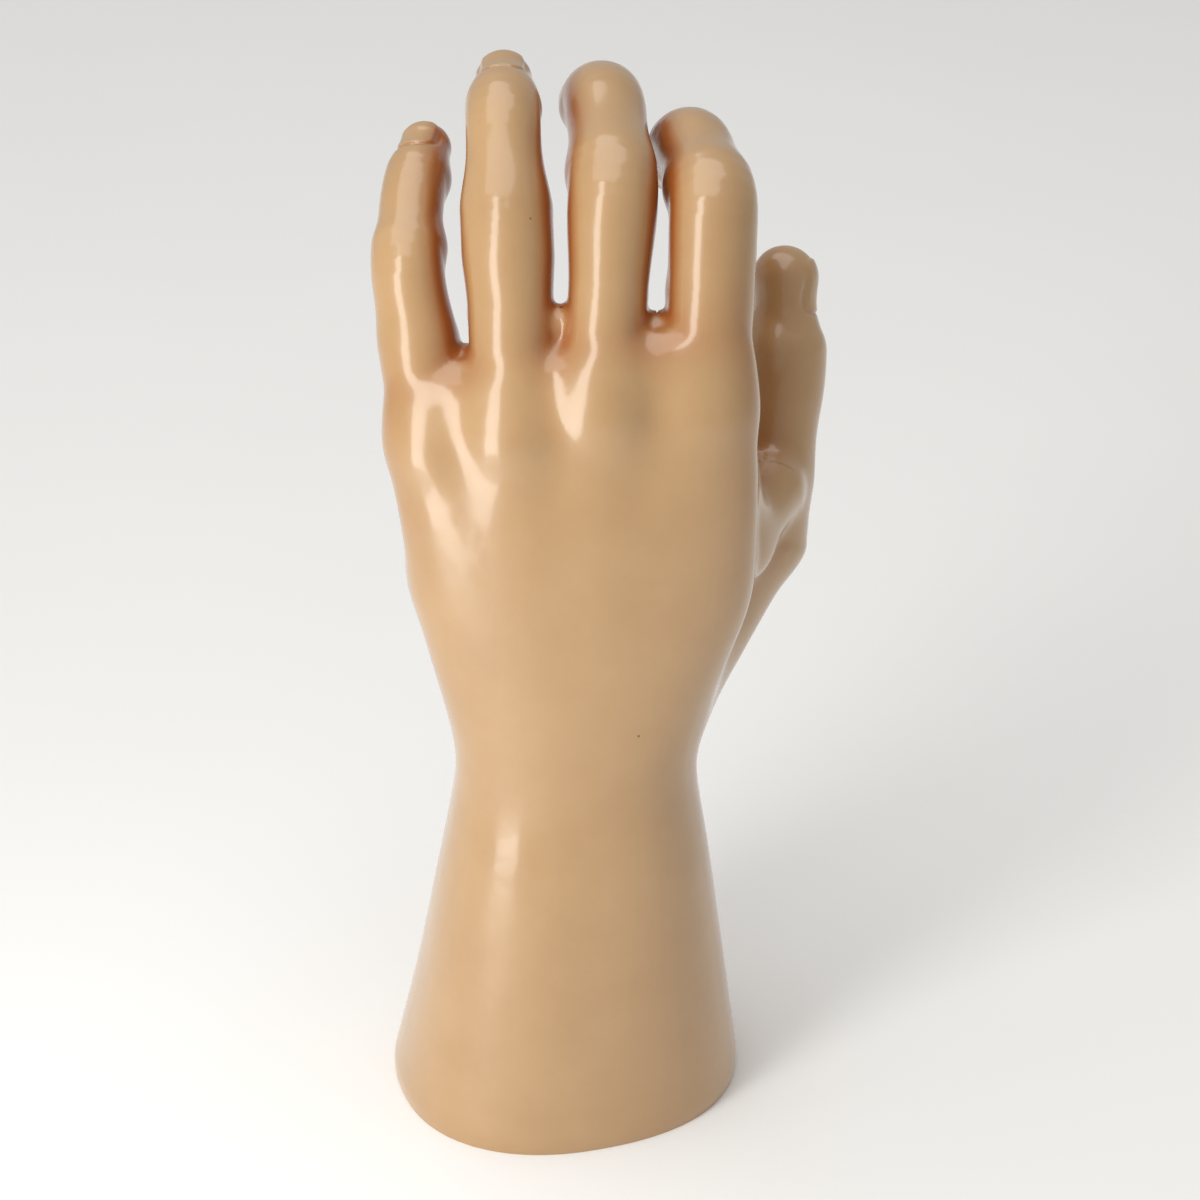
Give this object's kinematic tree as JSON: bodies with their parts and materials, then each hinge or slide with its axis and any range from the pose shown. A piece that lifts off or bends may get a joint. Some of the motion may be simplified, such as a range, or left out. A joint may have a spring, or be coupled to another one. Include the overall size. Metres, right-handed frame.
{
  "type": "passive prosthetic hand",
  "caption": "Left passive prosthetic hand with a relaxed natural pose: glossy skin-coloured moulded glove with flared cuff over an inner hand with friction joints.",
  "frame": {"origin": "centre of the wrist face, on the wrist stud's axis where the stud leaves the hand", "axes": "+Z from the wrist to the fingertips along the stud axis, -Y out of the back of the hand, +X to the thumb side"},
  "size_m": [0.1078, 0.1146, 0.2526],
  "materials": {
    "glove": "glossy moulded PVC, skin coloured, smooth and seamless",
    "filler_foam": "closed-cell foam, matt",
    "alloy": "machined and bead-blasted",
    "steel": "turned steel",
    "bronze": "sintered bearing bronze",
    "rubber": "matt rubber-bonded friction lining"
  },
  "bodies": {
    "hand": {"palm_glove": "glove", "palm_filler": "filler_foam", "palm_frame": "alloy", "frame_screws": "steel", "knuckle_pins": "steel", "thumb_base_pin": "steel", "wrist_housing": "alloy", "wrist_bush": "bronze", "friction_washer": "rubber", "retaining_ring": "alloy", "ring_screws": "steel"},
    "wrist_coupling": {"wrist_stud": "steel"},
    "index_proximal": {"index_proximal_glove": "glove", "index_proximal_link": "alloy", "index_joint_pin": "steel"},
    "index_distal": {"index_distal_glove": "glove", "index_distal_link": "alloy"},
    "middle_proximal": {"middle_proximal_glove": "glove", "middle_proximal_link": "alloy", "middle_joint_pin": "steel"},
    "middle_distal": {"middle_distal_glove": "glove", "middle_distal_link": "alloy"},
    "ring_proximal": {"ring_proximal_glove": "glove", "ring_proximal_link": "alloy", "ring_joint_pin": "steel"},
    "ring_distal": {"ring_distal_glove": "glove", "ring_distal_link": "alloy"},
    "little_proximal": {"little_proximal_glove": "glove", "little_proximal_link": "alloy", "little_joint_pin": "steel"},
    "little_distal": {"little_distal_glove": "glove", "little_distal_link": "alloy"},
    "thumb_proximal": {"thumb_proximal_glove": "glove", "thumb_proximal_link": "alloy", "thumb_joint_pin": "steel"},
    "thumb_distal": {"thumb_distal_glove": "glove", "thumb_distal_link": "alloy"}
  },
  "joints": [
    {"name": "wrist_turn", "type": "hinge", "parent": "hand", "child": "wrist_coupling", "pos_m": [0, 0, 0], "axis": [0, 0, 1], "continuous": true},
    {"name": "index_base_bend", "type": "hinge", "parent": "hand", "child": "index_proximal", "pos_m": [0.0341, 0.0037, 0.1277], "axis": [-0.9993, 0, 0.0384], "range_deg": [-10, 14]},
    {"name": "index_middle_bend", "type": "hinge", "parent": "index_proximal", "child": "index_distal", "pos_m": [0.03501, 0.01679, 0.1513], "axis": [-0.9736, -0.1818, 0.1383], "range_deg": [-18, 16]},
    {"name": "middle_base_bend", "type": "hinge", "parent": "hand", "child": "middle_proximal", "pos_m": [0.0105, 0.0024, 0.1284], "axis": [-0.9981, 0, 0.061], "range_deg": [-14, 10]},
    {"name": "middle_middle_bend", "type": "hinge", "parent": "middle_proximal", "child": "middle_distal", "pos_m": [0.01203, 0.01985, 0.15337], "axis": [-0.9864, -0.1, 0.1302], "range_deg": [-18, 18]},
    {"name": "ring_base_bend", "type": "hinge", "parent": "hand", "child": "ring_proximal", "pos_m": [-0.0113, 0.0023, 0.1234], "axis": [-0.9984, 0, -0.0558], "range_deg": [-14, 14]},
    {"name": "ring_middle_bend", "type": "hinge", "parent": "ring_proximal", "child": "ring_distal", "pos_m": [-0.01242, 0.01537, 0.1435], "axis": [-0.9984, 0, -0.0558], "range_deg": [-8, 20]},
    {"name": "little_base_bend", "type": "hinge", "parent": "hand", "child": "little_proximal", "pos_m": [-0.0322, 0.0053, 0.1144], "axis": [-0.9857, 0, -0.1685], "range_deg": [-14, 14]},
    {"name": "little_middle_bend", "type": "hinge", "parent": "little_proximal", "child": "little_distal", "pos_m": [-0.03572, 0.01491, 0.135], "axis": [-0.9339, 0.2351, -0.2694], "range_deg": [-18, 18]},
    {"name": "thumb_base_bend", "type": "hinge", "parent": "hand", "child": "thumb_proximal", "pos_m": [0.0487, 0.031, 0.0649], "axis": [0.0581, -0.9317, 0.3586], "range_deg": [-14, 8]},
    {"name": "thumb_end_bend", "type": "hinge", "parent": "thumb_proximal", "child": "thumb_distal", "pos_m": [0.05342, 0.04252, 0.09405], "axis": [0.0581, -0.9317, 0.3586], "range_deg": [-12, 14]}
  ]
}
